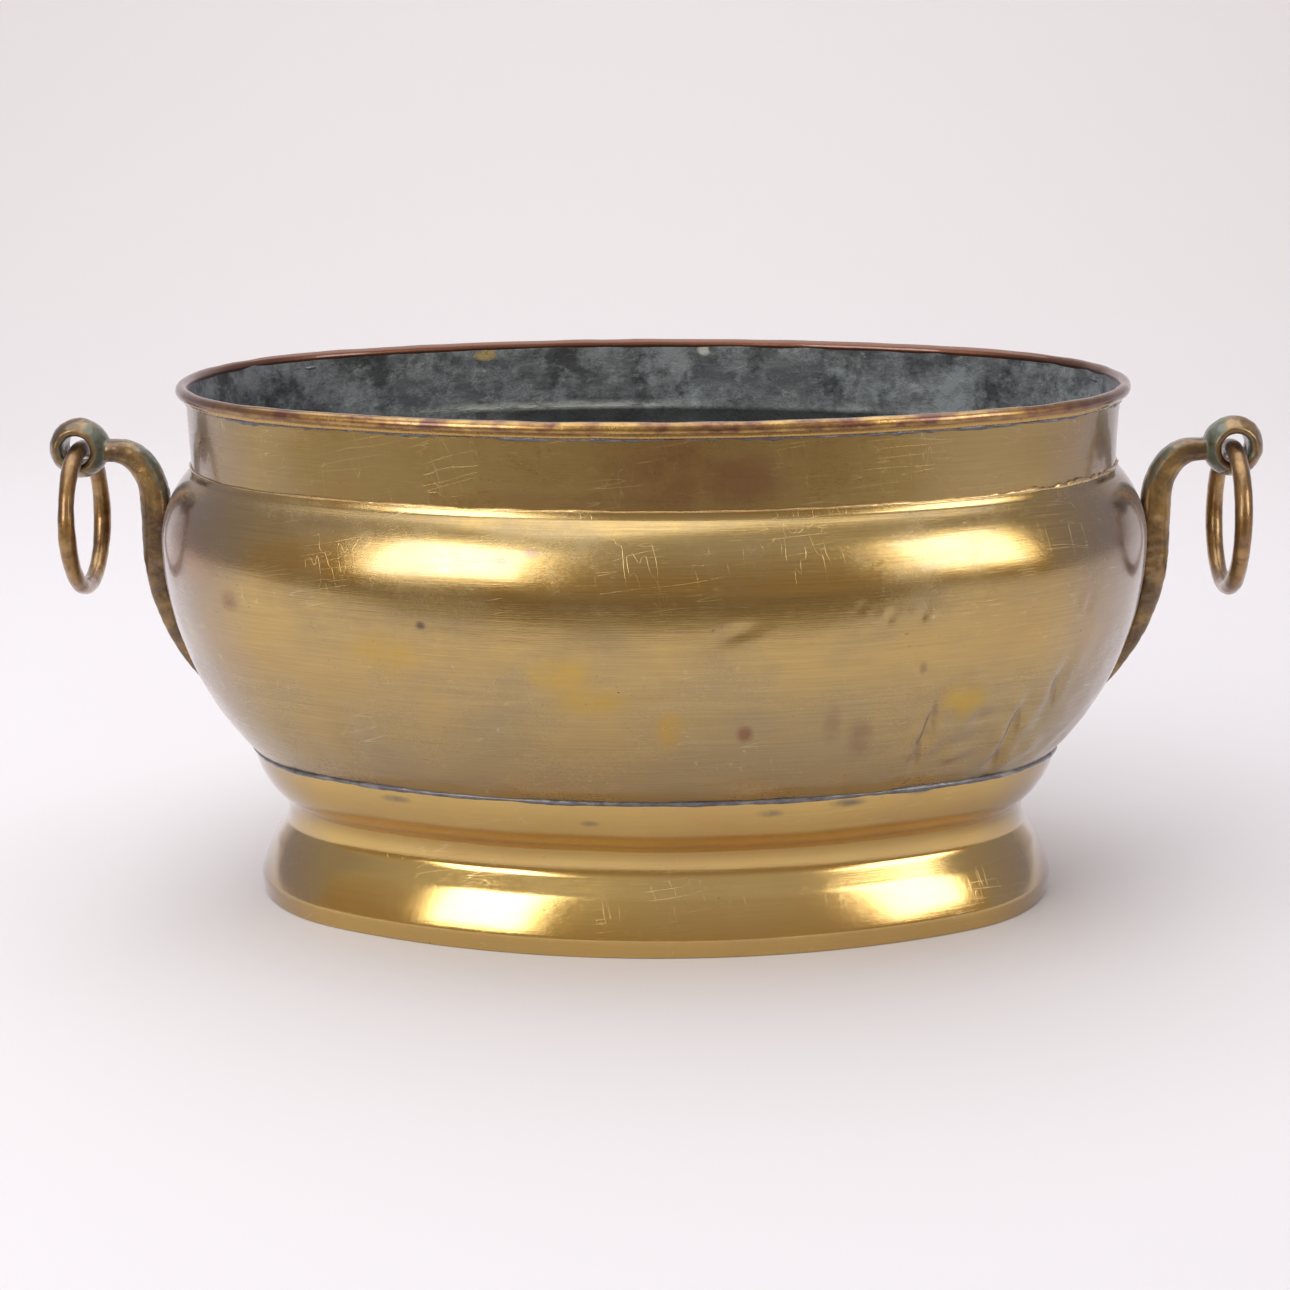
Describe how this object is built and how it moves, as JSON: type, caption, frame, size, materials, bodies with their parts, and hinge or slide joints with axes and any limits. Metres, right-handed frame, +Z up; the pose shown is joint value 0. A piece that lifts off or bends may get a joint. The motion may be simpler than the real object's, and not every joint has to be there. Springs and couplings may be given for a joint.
{
  "type": "oval planter pot",
  "caption": "Oval brass planter with a round-bellied body, upright collar, rolled rim, flared foot, and a cast handle with a swinging ring at each end.",
  "frame": {"origin": "middle of the foot, on the surface that the pot stands on", "axes": "+X along the pot's long side, towards the right handle; +Y to the back; +Z up through the mouth"},
  "size_m": [0.644, 0.3356, 0.279],
  "materials": {
    "belly_brass": "old polished brass sheet, softly worn, with fine scratches, dents and faint stains",
    "floor_brass": "brass sheet gone dark green-grey inside a planter",
    "collar_brass": "brass sheet with fine level brushing and reddish patches; verdigris inside",
    "hard_solder": "hard solder, bright on the lapped edge",
    "rim_brass": "handled brass, copper-brown",
    "wire_brass": "drawn wire, hidden",
    "lead_solder": "grey lead solder, dull, uneven",
    "foot_brass": "polished brass sheet, brighter than the belly",
    "cast_bronze": "cast brass, brown, grey-green verdigris in the hollows",
    "rivet_brass": "rivet brass, filed flush",
    "ring_brass": "cast brass ring, brown with worn golden edges"
  },
  "bodies": {
    "pot": {"belly": "belly_brass", "floor_plate": "floor_brass", "collar": "collar_brass", "collar_braze": "hard_solder", "rim_roll": "rim_brass", "rim_wire": "wire_brass", "rim_solder": "lead_solder", "foot": "foot_brass", "foot_solder": "lead_solder", "left_handle": "cast_bronze", "left_handle_solder": "lead_solder", "left_handle_rivets": "rivet_brass", "right_handle": "cast_bronze", "right_handle_solder": "lead_solder", "right_handle_rivets": "rivet_brass"},
    "left_ring": {"left_ring": "ring_brass"},
    "right_ring": {"right_ring": "ring_brass"}
  },
  "joints": [
    {"name": "left_ring_swing", "type": "hinge", "parent": "pot", "child": "left_ring", "pos_m": [-0.306, 0, 0.241], "axis": [0, 1, 0], "range_deg": [-20, 230]},
    {"name": "right_ring_swing", "type": "hinge", "parent": "pot", "child": "right_ring", "pos_m": [0.306, 0, 0.241], "axis": [0, -1, 0], "range_deg": [-20, 230]}
  ]
}
